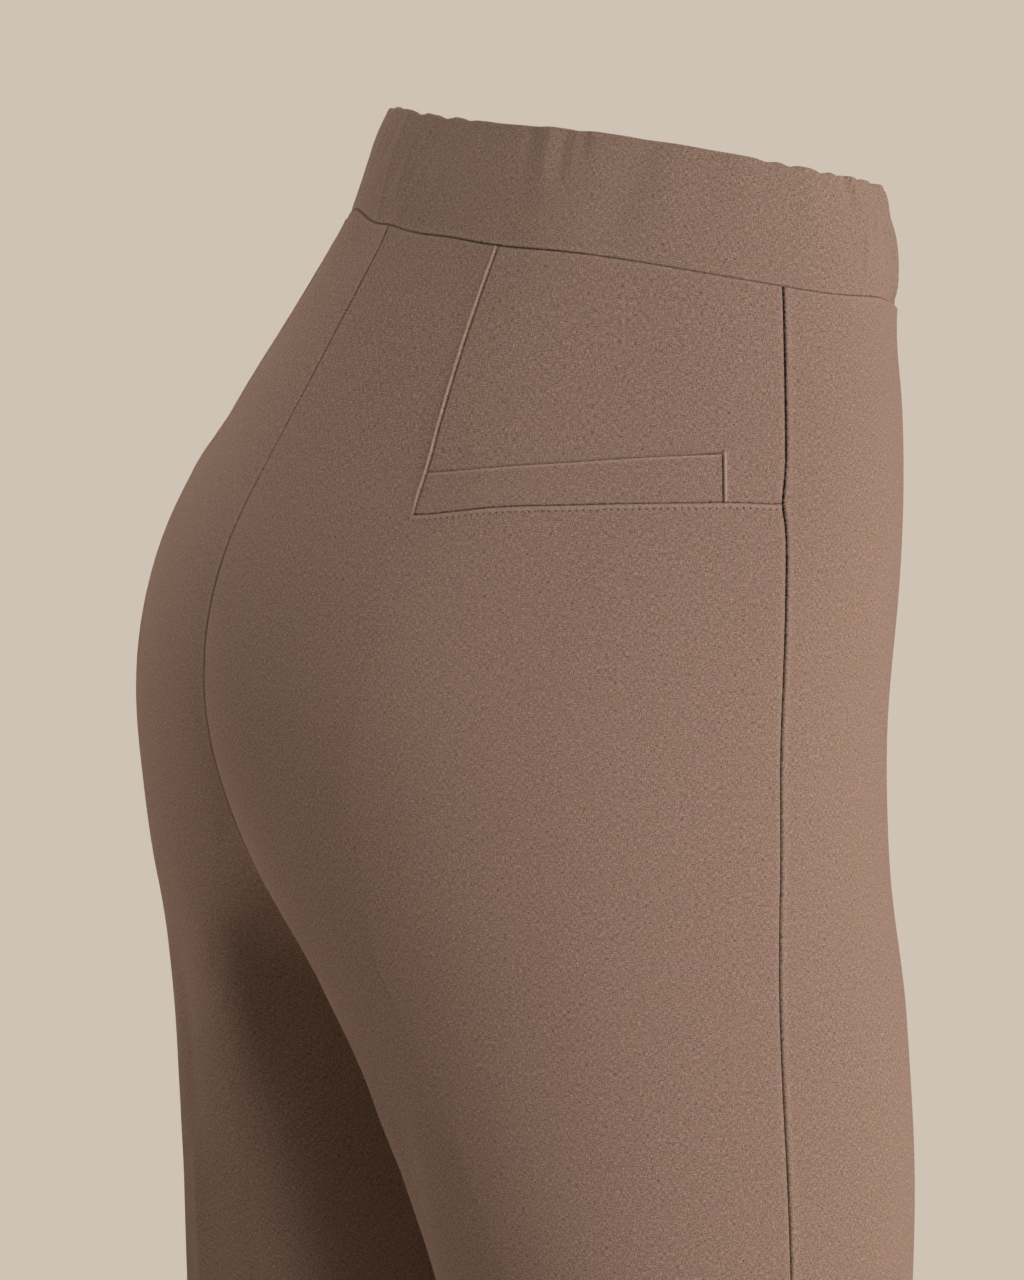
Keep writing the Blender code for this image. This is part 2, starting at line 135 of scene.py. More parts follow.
# The large folds of the solids: place, width, start, full, fade, end, depth.
folds = {
    "right": [
        (96, 16, 430, 540, 640, 800, 2.5), (-92, 16, 440, 540, 620, 780, 2.0),
        (142, 32, 600, 980, 1060, 1400, 8.0), (76, 24, 660, 990, 1060, 1400, -4.5),
        (216, 25, 690, 1000, 1060, 1400, -4.0), (-136, 31, 580, 960, 1060, 1400, 9.0),
        (-68, 25, 680, 1000, 1060, 1400, -5.0), (-210, 24, 640, 990, 1060, 1400, -4.0),
    ],
    "left": [
        (128, 13, 340, 430, 560, 760, 3.5), (104, 12, 350, 440, 560, 740, -3.0),
        (150, 31, 620, 980, 1060, 1400, 8.5), (84, 25, 640, 980, 1060, 1400, -5.0),
        (220, 25, 680, 1000, 1060, 1400, -3.5), (-144, 32, 600, 970, 1060, 1400, 8.5),
        (-78, 24, 660, 990, 1060, 1400, -4.0), (-216, 26, 660, 980, 1060, 1400, -4.5),
    ],
}

# Finer creases, each a soft line on the cloth from one place and drop to another.
# place, drop, place, drop, width, depth: positive is a ridge.
creases = {
    "right": [
        # behind the near thigh and at its side
        (173, 296, 167, 382, 2.8, 1.5), (159, 290, 155, 390, 9, -1.7), (60, 330, 52, 520, 16, 0.5),
        # drawn from the crotch in front
        (-120, 232, -196, 262, 8, 0.7), (-104, 250, -186, 276, 9, -0.7),
        (-90, 286, -176, 300, 8, 0.6),
        # round the knee
        (80, 470, 92, 640, 15, 0.8), (-70, 450, -84, 620, 14, -0.7), (160, 500, 130, 660, 14, -0.8),
        # down the flare
        (30, 700, 42, 1000, 18, 0.9), (-24, 720, -30, 1010, 20, -0.8),
        (184, 740, 178, 1020, 16, 0.9), (-176, 720, -170, 1030, 17, 0.8),
    ],
    "left": [
        # drawn from the crotch in front
        (-112, 236, -192, 264, 9, 0.7), (-120, 256, -188, 280, 8, -0.6),
        (-84, 292, -170, 304, 9, 0.6),
        # below the seat
        (196, 236, 152, 300, 9, -0.7), (214, 268, 176, 330, 9, 0.8),
        # behind the far thigh and at its side
        (164, 262, 135, 366, 7, -1.3), (130, 262, 118, 372, 13, 1.2), (192, 278, 172, 344, 9, 0.9),
        (139, 346, 134, 440, 5, 1.6), (124, 350, 116, 440, 8, -1.6), (58, 340, 66, 540, 18, 0.6),
        # round the knee
        (40, 480, 30, 640, 15, -0.7), (-66, 470, -88, 650, 15, 0.8), (-150, 520, -120, 690, 13, -0.7),
        # down the flare
        (36, 710, 30, 1020, 20, 0.9), (-28, 740, -36, 1000, 18, -0.8),
        (190, 730, 186, 1010, 17, 0.8), (-180, 740, -184, 1020, 16, 0.9),
    ],
}


def ease(value):
    value = np.clip(value, 0.0, 1.0)
    return value * value * (3 - 2 * value)


def spline(xs, ys):     # natural cubic through the points
    xs = np.asarray(xs, float)
    ys = np.asarray(ys, float)
    count = len(xs)
    step = np.diff(xs)
    matrix = np.eye(count)
    right = np.zeros(count)
    for i in range(1, count - 1):
        matrix[i, i - 1:i + 2] = step[i - 1], 2 * (step[i - 1] + step[i]), step[i]
        right[i] = 6 * ((ys[i + 1] - ys[i]) / step[i] - (ys[i] - ys[i - 1]) / step[i - 1])
    bend = np.linalg.solve(matrix, right)

    def value(x):
        i = int(np.clip(np.searchsorted(xs, x) - 1, 0, count - 2))
        width = step[i]
        a = (xs[i + 1] - x) / width
        b = (x - xs[i]) / width
        cubic = ((a ** 3 - a) * bend[i] + (b ** 3 - b) * bend[i + 1]) * width * width / 6
        return a * ys[i] + b * ys[i + 1] + cubic

    return value


def columnSplines(columns, rows):
    drops = [row[0] for row in rows]
    return {name: spline(drops, [row[i] for row in rows])
            for i, name in enumerate(columns) if name != "drop"}


shapeAt = columnSplines(stationColumns, stations)
pastMiddleAt = columnSplines(forkColumns, fork)["pastMiddle"]
stanceAt = columnSplines(stanceColumns, leftStance)["back"]
guideAt = columnSplines(guideColumns, guides)
quarterSteps = 160
slopeStep = 0.5


def quarter(centre, reach, firstTurn):
    angle = np.linspace(firstTurn, firstTurn + 1, quarterSteps) * math.pi / 2
    return np.stack([centre[0] + reach[0] * np.cos(angle), centre[1] + reach[1] * np.sin(angle)], 1)


class Section:      # one level of one half, the same curve as in the solids
    def __init__(self, side, drop):
        shape = {name: value(drop) for name, value in shapeAt.items()}
        innerX = pastMiddleAt(drop)
        gap = sewing["seamGap"] / 2
        if drop > crotchDrop - 0.3:
            innerX = min(innerX, -0.15)
        wideX, wideY, innerY = shape["halfWidth"], shape["wideY"], shape["innerY"]
        backX, backY = shape["backX"], shape["backY"]
        frontX, frontY = shape["frontX"], shape["frontY"]
        parts = [
            quarter((-backX, innerY), (innerX + backX, backY - innerY), 0),
            quarter((-backX, wideY), (wideX - backX, backY - wideY), 1)[1:],
            quarter((-frontX, wideY), (wideX - frontX, wideY - frontY), 2)[1:],
            quarter((-frontX, innerY), (innerX + frontX, innerY - frontY), 3)[1:],
        ]
        self.side = side
        self.drop = drop
        self.wideY = wideY
        self.slope = math.tan(math.radians(shape["tilt"]))
        self.curve = np.concatenate(parts)
        steps = np.hypot(*np.diff(self.curve, axis=0).T)
        self.length = np.concatenate([[0.0], np.cumsum(steps)])
        turn = quarterSteps - 1
        self.backPeak = self.length[turn]
        self.frontPeak = self.length[3 * turn]
        self.backEdge = max(gap, self.where(0, 2 * turn, 0, -gap))
        self.frontEdge = min(self.length[-1] - gap, self.where(2 * turn, 4 * turn, 0, -gap))
        self.sideSeam = self.where(turn, 3 * turn, 1, shape["seamY"])
        self.kinked = sewing["kink"] * math.exp(-((drop - yokeDrop) / sewing["kinkReach"]) ** 2)

    def where(self, first, last, axis, value):
        values = self.curve[first:last + 1, axis]
        lengths = self.length[first:last + 1]
        if values[0] > values[-1]:
            values, lengths = values[::-1], lengths[::-1]
        return float(np.interp(value, values, lengths))

    def onCurve(self, lengths):
        return (np.interp(lengths, self.length, self.curve[:, 0]),
                np.interp(lengths, self.length, self.curve[:, 1]))

    def points(self, lengths):
        x, y = self.onCurve(lengths)
        aheadX, aheadY = self.onCurve(lengths + slopeStep)
        behindX, behindY = self.onCurve(lengths - slopeStep)
        alongX, alongY = aheadX - behindX, aheadY - behindY
        place = self.sideSeam - lengths
        push = self.foldDepth(place) / np.hypot(alongX, alongY)
        x = x + push * alongY
        y = y - push * alongX
        z = self.slope * (y - self.wideY) - self.drop
        for owner, centre, drop, width, reach, up in drawn:
            if owner in (self.side, "both"):
                share = up * math.exp(-((self.drop - drop) / reach) ** 2)
                z = z + share * np.exp(-((place - centre) / width) ** 2)
        if self.side == "left":
            byPlace = ease(-x / stanceReach)
            below = ease((self.drop - crotchDrop) / stanceFade)
            y = y + stanceAt(self.drop) * (byPlace + (1 - byPlace) * below)
            x = -x
        return np.stack([x, y, z], axis=1)

    def foldDepth(self, place):
        depth = np.zeros_like(place)
        for centre, width, start, full, fade, end, height in folds[self.side]:
            if start < self.drop < end:
                grown = ease((self.drop - start) / (full - start))
                left = ease((end - self.drop) / (end - fade))
                depth = depth + height * grown * left * np.exp(-((place - centre) / width) ** 2)
        return depth


def surfaceRow(side, drop, lengths):    # points and outward normals
    section = Section(side, drop)
    higher = Section(side, drop - slopeStep)
    lower = Section(side, drop + slopeStep)
    fromSeam = lengths - section.sideSeam
    along = section.points(lengths + slopeStep) - section.points(lengths - slopeStep)
    down = lower.points(lower.sideSeam + fromSeam) - higher.points(higher.sideSeam + fromSeam)
    normal = np.cross(down, along) if side == "right" else np.cross(along, down)
    normal /= np.linalg.norm(normal, axis=1)[:, None]
    return section.points(lengths), normal


def ripple(distance, phase):    # uneven waves from -1 to 1, the same each run
    return (0.5 * np.sin(distance / 1.31 + phase)
            + 0.3 * np.sin(distance / 0.83 + 2.3 * phase + 1.0)
            + 0.2 * np.sin(distance / 2.9 + 0.7 * phase))


def creaseDepth(side, place, drop):
    depth = np.zeros_like(place)
    for place0, drop0, place1, drop1, width, height in creases[side]:
        alongP, alongD = place1 - place0, drop1 - drop0
        length = math.hypot(alongP, alongD)
        t = ((place - place0) * alongP + (drop - drop0) * alongD) / length ** 2
        away = ((place - place0) * alongD - (drop - drop0) * alongP) / length
        away = away + 0.25 * width * np.sin(3.0 * t + place0)   # none is quite straight
        swell = ease(t / 0.4) * ease((1 - t) / 0.45)
        depth += height * swell * np.exp(-(away / width) ** 2)
    return depth


# How the cloth ends at each kind of seam, by the distance from it in millimetres.
# roll: radius and depth of the turned edge.  ridge: height, centre and width of
# the allowances that stand up beside it.  dark: how far and how much painted shade
# the seam is given.  light: how much painted highlight the pressed ridge is given.
seams = {
    "side": {"roll": (0.95, 1.1), "ridge": (0.16, 1.5, 0.9), "dark": (0.85, 0.95), "light": 0.06},
    "middle": {"roll": (0.6, 0.55), "ridge": (0.10, 1.3, 0.8), "dark": (0.45, 0.5), "light": 0.05},
    "princess": {"roll": (0.4, 0.9), "ridge": (0.6, 0.7, 0.48), "dark": (0.2, 0.45), "light": 0.40},
    "underPrincess": {"roll": (1.4, 0.45), "ridge": (0.0, 1.0, 1.0), "dark": (0.6, 0.8), "light": 0},
    "level": {"roll": (0.4, 0.4), "ridge": (0.16, 0.85, 0.5), "dark": (0.35, 0.55), "light": 0.16},
    "underLevel": {"roll": (0.4, 0.35), "ridge": (0.0, 1.0, 1.0), "dark": (0.35, 0.5), "light": 0},
    "band": {"roll": (0.5, 0.5), "ridge": (0.10, 0.8, 0.6), "dark": (0.5, 0.85), "light": 0.05},
}


def seamAt(kind, distance):     # height of the cloth beside a seam, and its painted shade and highlight
    look = seams[kind]
    radius, depth = look["roll"]
    height, centre, width = look["ridge"]
    reach, strength = look["dark"]
    inside = np.clip((radius - distance) / radius, 0, 1)
    bump = np.exp(-((distance - centre) / width) ** 2)
    lift = height * bump - depth * (1 - np.sqrt(1 - inside ** 2 * 0.9999))
    return lift, strength * ease(1 - distance / reach) - look["light"] * bump


def pucker(distance, along, phase):
    fade = np.exp(-(distance / sewing["puckerReach"]) ** 2)
    return sewing["puckerDepth"] * fade * ripple(along / 1.6, phase)


class Relief:       # height and shade of a row of points, gathered from its seams
    def __init__(self, place, drop):
        self.place = place
        self.drop = drop
        self.height = np.zeros_like(place)
        self.dark = np.zeros_like(place)
        self.light = np.zeros_like(place)

    def sew(self, kind, distance, along, phase, share=1.0):
        distance = np.broadcast_to(np.asarray(distance, float), self.place.shape)
        lift, shade = seamAt(kind, distance)
        self.height = self.height + lift + pucker(distance, along, phase)
        self.dark = np.maximum(self.dark, share * shade)
        self.light = np.minimum(self.light, shade)

    def result(self):
        shade = np.where(self.dark > -self.light, self.dark, self.light)
        return self.height, shade


# share of the band seam's painted shade at each place
def bandSeamShare(place):
    least = sewing["bandSeamLeastShade"]
    away = (place - sewing["bandSeamDarkest"]) / sewing["bandSeamReach"]
    return least + (1 - least) * np.exp(-away ** 2)


edgeSteps = [0, 0.12, 0.3, 0.5, 0.75, 1.0, 1.4, 1.9, 2.6, 3.8, 5.4, 7.6]


def spread(start, end, pitch, startEdge=True, endEdge=True, reference=None):
    # places from start to end, close together at the edges that are seams
    first = edgeSteps if startEdge else [0]
    last = edgeSteps if endEdge else [0]
    span = (end - start) if reference is None else reference
    count = max(2, round((span - first[-1] - last[-1]) / pitch))
    middle = np.linspace(start + first[-1], end - last[-1], count + 1)
    return np.concatenate([start + np.array(first[:-1]), middle, end - np.array(last[-2::-1])])


def newObject(name, data):
    item = bpy.data.objects.new(name, data)
    bpy.context.scene.collection.objects.link(item)
    return item


def meshFromSheets(name, outer, inner, cells, uv, shade):
    # a closed thin shell over the marked cells of a grid, with cloth coordinates
    rows, columns = outer.shape[:2]
    index = np.arange(rows * columns).reshape(rows, columns)
    offset = rows * columns
    a, b, c, d = index[:-1, :-1], index[1:, :-1], index[1:, 1:], index[:-1, 1:]
    quads = np.stack([a, b, c, d], -1)[cells]
    faces = [quads, quads[:, ::-1] + offset]
    padded = np.pad(cells, 1)
    inside = padded[1:-1, 1:-1]
    for first, second, neighbour in (
            (a, b, padded[1:-1, :-2]), (b, c, padded[2:, 1:-1]),
            (c, d, padded[1:-1, 2:]), (d, a, padded[:-2, 1:-1])):
        rim = inside & ~neighbour
        start, end = first[rim], second[rim]
        faces.append(np.stack([end, start, start + offset, end + offset], -1))
    faces = np.concatenate(faces)
    vertices = np.concatenate([outer.reshape(-1, 3), inner.reshape(-1, 3)]) * mm
    used = np.unique(faces)
    renumber = np.full(len(vertices), -1)
    renumber[used] = np.arange(len(used))
    coordinates = np.concatenate([uv.reshape(-1, 2)] * 2)[used]
    depth = np.concatenate([shade.ravel(), np.zeros(offset)])[used]
    return meshFromArrays(name, vertices[used], renumber[faces], coordinates, depth)


def meshFromArrays(name, vertices, faces, coordinates, depth):
    mesh = bpy.data.meshes.new(name)
    mesh.vertices.add(len(vertices))
    mesh.vertices.foreach_set("co", vertices.ravel())
    mesh.loops.add(faces.size)
    mesh.loops.foreach_set("vertex_index", faces.ravel())
    mesh.polygons.add(len(faces))
    mesh.polygons.foreach_set("loop_start", np.arange(len(faces)) * faces.shape[1])
    mesh.update(calc_edges=True)
    layer = mesh.uv_layers.new(name="cloth")
    layer.data.foreach_set("uv", coordinates[faces.ravel()].astype(np.float32).ravel())
    # painted shade and painted highlight, read by the crepe's colour
    attribute = mesh.attributes.new("seamShade", "FLOAT", "POINT")
    attribute.data.foreach_set("value", depth.astype(np.float32))
    bm = bmesh.new()
    bm.from_mesh(mesh)
    bmesh.ops.recalc_face_normals(bm, faces=bm.faces)
    bm.to_mesh(mesh)
    bm.free()
    mesh.shade_smooth()
    mesh.set_sharp_from_angle(angle=math.radians(70))
    return newObject(name, mesh)


def linear(hexColour):      # sRGB hex to the linear values that shaders take
    values = [int(hexColour[i:i + 2], 16) / 255 for i in (1, 3, 5)]
    return [v / 12.92 if v <= 0.04045 else ((v + 0.055) / 1.055) ** 2.4 for v in values] + [1.0]


def addNode(tree, kind, settings=None, links=None):
    node = tree.nodes.new(kind)
    for key, value in (settings or {}).items():
        if isinstance(key, str) and hasattr(node, key):
            setattr(node, key, value)
        else:
            node.inputs[key].default_value = value
    for key, source in (links or {}).items():
        tree.links.new(source, node.inputs[key])
    return node


def newMaterial(name):
    material = bpy.data.materials.new(name)
    material.use_nodes = True
    tree = material.node_tree
    return material, tree, tree.nodes["Principled BSDF"]


crepeLook = {
    "rose": "#8a6e66",          # the two tints that the yarns mix to
    "olive": "#87705c",
    "seam": "#1f120d",          # painted shade deep in a seam
    "paintedHighlight": "#d8bda9",       # painted highlight on pressed folds and ridges
    "threadPitch": 0.42,        # mm, the real one
    "pebble": 1.25,             # cells of the grain to a thread pitch
    "across": 1.55,             # and of the threads across them
    "along": 0.3,               # and along them
    "threadShare": 0.6,         # how much of the grain is threads
    "tintCells": (0.7, 0.65),   # yarns of one tint, to a thread pitch
    "patchSize": (6.0, 10 / 7), # mm, drifts between the tints, and how much taller they are
    "yarnTintShare": 0.78,      # how much of the drift is from yarn to yarn
    "stitchBreak": 1.0,         # mm, the stitches break the edge of a seam's painted shade
    "grainContrast": 0.9,
    "bumpHeight": 0.00018,
    "roughness": 0.82,
    "diffuseRoughness": 0.7,    # the pebbled surface looks flatter than a plain one
    "sheen": 0.07,
    "sheenRoughness": 0.45,
    "sheenTint": "#ffe9dc",
    "specular": 0.15,
    "ior": 1.5,
}


def makeCrepe(name, look, turned=0.0):
    # stretch crepe: matt, with a pebbled grain of short crossing threads and a
    # slight drift between a rose and an olive brown, soft sheen at the edges
    material, tree, shader = newMaterial(name)
    uv = addNode(tree, "ShaderNodeUVMap", {"uv_map": "cloth"})
    perPitch = 1000 / look["threadPitch"]
    turn = (0.0, 0.0, turned)

    def noise(across, down, detail):    # cells to the metre round and down the cloth
        mapping = addNode(tree, "ShaderNodeMapping", {"Scale": (across, down, 1), "Rotation": turn},
                          {"Vector": uv.outputs["UV"]})
        return addNode(tree, "ShaderNodeTexNoise", {"Scale": 1.0, "Detail": detail},
                       {"Vector": mapping.outputs["Vector"]})

    pebble = noise(perPitch * look["pebble"], perPitch * look["pebble"], 1.0)
    weft = noise(perPitch * look["along"], perPitch * look["across"], 0.5)
    warp = noise(perPitch * look["across"], perPitch * look["along"], 0.5)
    crossing = addNode(tree, "ShaderNodeMath", {"operation": "MAXIMUM"},
                       {0: weft.outputs["Fac"], 1: warp.outputs["Fac"]})
    grain = addNode(tree, "ShaderNodeMix", {"data_type": "FLOAT", "Factor": look["threadShare"]},
                    {2: pebble.outputs["Fac"], 3: crossing.outputs["Value"]})
    contrast = addNode(tree, "ShaderNodeMapRange",
                       {"From Min": 0.3, "From Max": 0.72,
                        "To Min": 1 - look["grainContrast"], "To Max": 1 + look["grainContrast"]},
                       {"Value": grain.outputs[0]})
    patchWide, patchTaller = look["patchSize"]
    patch = noise(1000 / patchWide, 1000 / (patchWide * patchTaller), 3.0)
    yarnTint = noise(perPitch * look["tintCells"][0], perPitch * look["tintCells"][1], 1.0)
    tintMix = addNode(tree, "ShaderNodeMix", {"data_type": "FLOAT", "Factor": look["yarnTintShare"]},
                      {2: patch.outputs["Fac"], 3: yarnTint.outputs["Fac"]})
    tintShare = addNode(tree, "ShaderNodeMapRange", {"From Min": 0.36, "From Max": 0.64},
                        {"Value": tintMix.outputs[0]})
    tint = addNode(tree, "ShaderNodeMix",
                   {"data_type": "RGBA", 6: linear(look["rose"]), 7: linear(look["olive"])},
                   {"Factor": tintShare.outputs["Result"]})
    grained = addNode(tree, "ShaderNodeVectorMath", {"operation": "SCALE"},
                      {0: tint.outputs[2], "Scale": contrast.outputs["Result"]})
    # seamShade: painted shade in the seams where positive, painted highlight on the ridges where negative
    shade = addNode(tree, "ShaderNodeAttribute", {"attribute_name": "seamShade"})
    broken = noise(1000 / look["stitchBreak"], 1000 / look["stitchBreak"], 1.0)
    breaks = addNode(tree, "ShaderNodeMapRange", {"From Min": 0.3, "From Max": 0.7,
                                                  "To Min": 1.45, "To Max": 0.5},
                     {"Value": broken.outputs["Fac"]})
    dark = addNode(tree, "ShaderNodeMath", {"operation": "MULTIPLY", "use_clamp": True},
                   {0: shade.outputs["Fac"], 1: breaks.outputs["Result"]})
    highlightShare = addNode(tree, "ShaderNodeMath", {"operation": "MULTIPLY", "use_clamp": True, 1: -1.0},
                     {0: shade.outputs["Fac"]})
    lighter = addNode(tree, "ShaderNodeMix", {"data_type": "RGBA", 7: linear(look["paintedHighlight"])},
                      {"Factor": highlightShare.outputs["Value"], 6: grained.outputs["Vector"]})
    colour = addNode(tree, "ShaderNodeMix", {"data_type": "RGBA", 7: linear(look["seam"])},
                     {"Factor": dark.outputs["Value"], 6: lighter.outputs[2]})
    bump = addNode(tree, "ShaderNodeBump", {"Strength": 0.9, "Distance": look["bumpHeight"]},
                   {"Height": grain.outputs[0]})
    rough = addNode(tree, "ShaderNodeMapRange",
                    {"To Min": look["roughness"] + 0.1, "To Max": look["roughness"] - 0.08},
                    {"Value": grain.outputs[0]})
    tree.links.new(colour.outputs[2], shader.inputs["Base Color"])
    tree.links.new(rough.outputs["Result"], shader.inputs["Roughness"])
    tree.links.new(bump.outputs["Normal"], shader.inputs["Normal"])
    for socket, value in (("IOR", look["ior"]), ("Specular IOR Level", look["specular"]),
                          ("Diffuse Roughness", look["diffuseRoughness"]),
                          ("Sheen Weight", look["sheen"]), ("Sheen Roughness", look["sheenRoughness"]),
                          ("Sheen Tint", linear(look["sheenTint"]))):
        shader.inputs[socket].default_value = value
    return material


threadLook = {
    "thread": "#a18473",
    "hole": "#3b271f",      # painted shade of the thread deep in its needle hole
    "twistScale": 900.0,
    "twistDistortion": 0.6,
    "twistShade": 0.75,
    "roughness": 0.6,
    "ior": 1.53,            # of polyester
}


def makeThread(name, colourName, look):
    # polyester sewing thread, dyed to match and a little shinier than the crepe
    material, tree, shader = newMaterial(name)
    uv = addNode(tree, "ShaderNodeUVMap", {"uv_map": "cloth"})
    twist = addNode(tree, "ShaderNodeTexWave",
                    {"bands_direction": "DIAGONAL", "Scale": look["twistScale"],
                     "Distortion": look["twistDistortion"]},
                    {"Vector": uv.outputs["UV"]})
    base = linear(look[colourName])
    dark = [v * look["twistShade"] for v in base[:3]] + [1.0]
    colour = addNode(tree, "ShaderNodeMix", {"data_type": "RGBA", 6: dark, 7: base},
                     {"Factor": twist.outputs["Fac"]})
    tree.links.new(colour.outputs[2], shader.inputs["Base Color"])
    shader.inputs["Roughness"].default_value = look["roughness"]
    shader.inputs["IOR"].default_value = look["ior"]
    return material


crepe = makeCrepe("stretchCrepe", crepeLook)
bandCrepe = makeCrepe("stretchCrepeBand", {**crepeLook, "rose": "#896e65", "olive": "#87715d"}, 0.05)
thread = makeThread("sewingThread", "thread", threadLook)
# painted shade for the needle holes, in a darkened thread colour
needleHoleShade = makeThread("needleHoleShade", "hole", threadLook)
print("scene: materials made")


def finishPiece(piece, node, material):
    piece.data.materials.append(material)
    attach(piece, "root")
    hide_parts(node)


def makePanel(name, side, rowDrops, lengthsOf, liftOf, wall, leftOut=None):
    # a shell on the grid of rowDrops and lengthsOf, raised by liftOf and the creases
    outer, inner, uv, shade = [], [], [], []
    for drop in rowDrops:
        section = Section(side, drop)
        lengths = lengthsOf(section)
        points, normals = surfaceRow(side, drop, lengths)
        place = section.sideSeam - lengths
        out, dark = liftOf(section, lengths, place)
        out = out + creaseDepth(side, place, np.full_like(place, drop))
        outer.append(points + out[:, None] * normals)
        inner.append(points - wall * normals)
        uv.append(np.stack([place, np.full_like(place, drop)], 1) * mm)
        shade.append(dark)
    outer, inner, uv, shade = (np.array(rows) for rows in (outer, inner, uv, shade))
    cells = np.ones((outer.shape[0] - 1, outer.shape[1] - 1), bool)
    if leftOut is not None:
        cells[leftOut] = False
    return meshFromSheets(name, outer, inner, cells, uv, shade)


panelPitch = {"row": 6.0, "column": 5.5}
# Columns are counted over these widths, so that every row has as many.
countedOver = {"strip": 118, "behind": 132, "front": 250, "yoke": 105, "yokeEnd": 14, "welt": 108}
halfGap = sewing["seamGap"] / 2
bandTop = bandHeight + halfGap
yokeBottom = yokeDrop - halfGap
seatTop = yokeDrop + halfGap


def together(*rows):
    return np.unique(np.round(np.concatenate(rows), 3))


stripRows = spread(bandTop, yokeBottom, panelPitch["row"])
forkRows = np.arange(264.0, 296.0, 1.6)      # the crotch curves fast
hemRows = hemDrop - np.array([3.0, 1.6, 0.7, 0.2])
lowerRows = together(spread(seatTop, hemDrop, panelPitch["row"], endEdge=False), forkRows, hemRows)

hemLook = {"turnHeight": 32.0, "step": 0.35, "edgeRound": 0.7}


def hemShape(drop):     # the turned hem is a little thicker, and its fold is round
    step = hemLook["step"] * ease((drop - (hemDrop - hemLook["turnHeight"])) / 3)
    edge = np.clip((drop - (hemDrop - hemLook["edgeRound"])) / hemLook["edgeRound"], 0, 1)
    return step - hemLook["edgeRound"] * (1 - math.sqrt(1 - 0.999 * edge ** 2))


def sideEdge(section):      # the side seam itself, with its bend
    return section.sideSeam + section.kinked


def backLengths(section):
    guide = section.sideSeam - guideAt["back"](section.drop)
    inner = spread(section.backEdge, guide - halfGap, panelPitch["column"],
                   reference=countedOver["strip"])
    outer = spread(guide + halfGap, sideEdge(section) - halfGap, panelPitch["column"],
                   reference=countedOver["behind"])
    return np.concatenate([inner, outer])


# share of the side seam's painted shade at each drop
def sideShare(drop):
    return 1 - sewing["shadeFadeShare"] * ease((drop - sewing["shadeFadeFrom"]) / sewing["shadeFadeOver"])


def backLift(section, lengths, place):
    drop = section.drop
    guide = section.sideSeam - guideAt["back"](drop)
    relief = Relief(place, drop)
    relief.sew("middle", lengths - section.backEdge, drop, 0.4)
    relief.sew("side", sideEdge(section) - halfGap - lengths, drop, 1.9, sideShare(drop))
    if drop < yokeDrop:     # the strip beside the yoke, whose ridge ends at its corner
        plain = relief.height
        relief.sew("princess", np.abs(guide - halfGap - lengths), drop, 3.1)
        relief.height = plain + (relief.height - plain) * ease((yokeDrop - drop) / 6)
        relief.sew("band", drop - bandTop, place, 0.9, bandSeamShare(place))
    else:
        past = np.clip(guide - lengths, 0, None)        # nought under the yoke
        relief.sew("level", np.hypot(past, drop - seatTop), place, 2.2)
        relief.height = relief.height + hemShape(drop)
    return relief.result()


def makeBack(name, side):
    # only the strip goes up beside the yoke, and below it the grid is whole
    stripColumns = len(spread(0, countedOver["strip"], panelPitch["column"]))
    besideStrip = np.s_[:len(stripRows), stripColumns - 1:]
    return makePanel(name, side, np.concatenate([stripRows, lowerRows]), backLengths, backLift,
                     sewing["clothWall"], besideStrip)


def frontLengths(section):
    return spread(sideEdge(section) + halfGap, section.frontEdge, panelPitch["column"],
                  reference=countedOver["front"])


def frontLift(section, lengths, place):
    drop = section.drop
    relief = Relief(place, drop)
    relief.sew("middle", section.frontEdge - lengths, drop, 1.1)
    relief.sew("side", lengths - sideEdge(section) - halfGap, drop, 2.7, sideShare(drop))
    relief.sew("band", drop - bandTop, place, 1.4, bandSeamShare(place))
    relief.height = relief.height + hemShape(drop)
    return relief.result()


def makeFront(name, side):
    topRows = spread(bandTop, seatTop, panelPitch["row"], endEdge=False)
    rowDrops = together(topRows, lowerRows[lowerRows > seatTop + 7])
    return makePanel(name, side, rowDrops, frontLengths, frontLift, sewing["clothWall"])


def yokeStart(section):
    return section.sideSeam - guideAt["back"](section.drop) + halfGap


weltLook = {
    "height": 14.0,
    "end": 23.0,            # from its front end to the side seam
    "sink": 0.75,           # the yoke lies this deep under it
    "lift": 0.12,           # and its face stands out this far past the yoke
    "mouthLift": 0.35,      # its folded top edge stands a little further out
    "wall": 0.7,
    "foldRound": 0.45,
    "columnPitch": 2.6,
    "endRidge": 0.5,        # the yoke is caught up in a tuck beside its front end
    "tuckAt": 1.0,          # this far past the end
    "tuckWidth": 0.5,
    "tuckLight": 0.42,
    "cornerPull": 0.45,     # and pulled into a point at its top corner
    "cornerReach": 5.0,
    "topShade": 0.6,        # shade under the mouth
    "endShade": 0.9,        # and beside the front end
    "edgeLight": 0.22,      # painted highlight on the folded top edge
    "mouthFade": (9, 14, 8),    # the mouth closes down the welt and towards its two ends
}


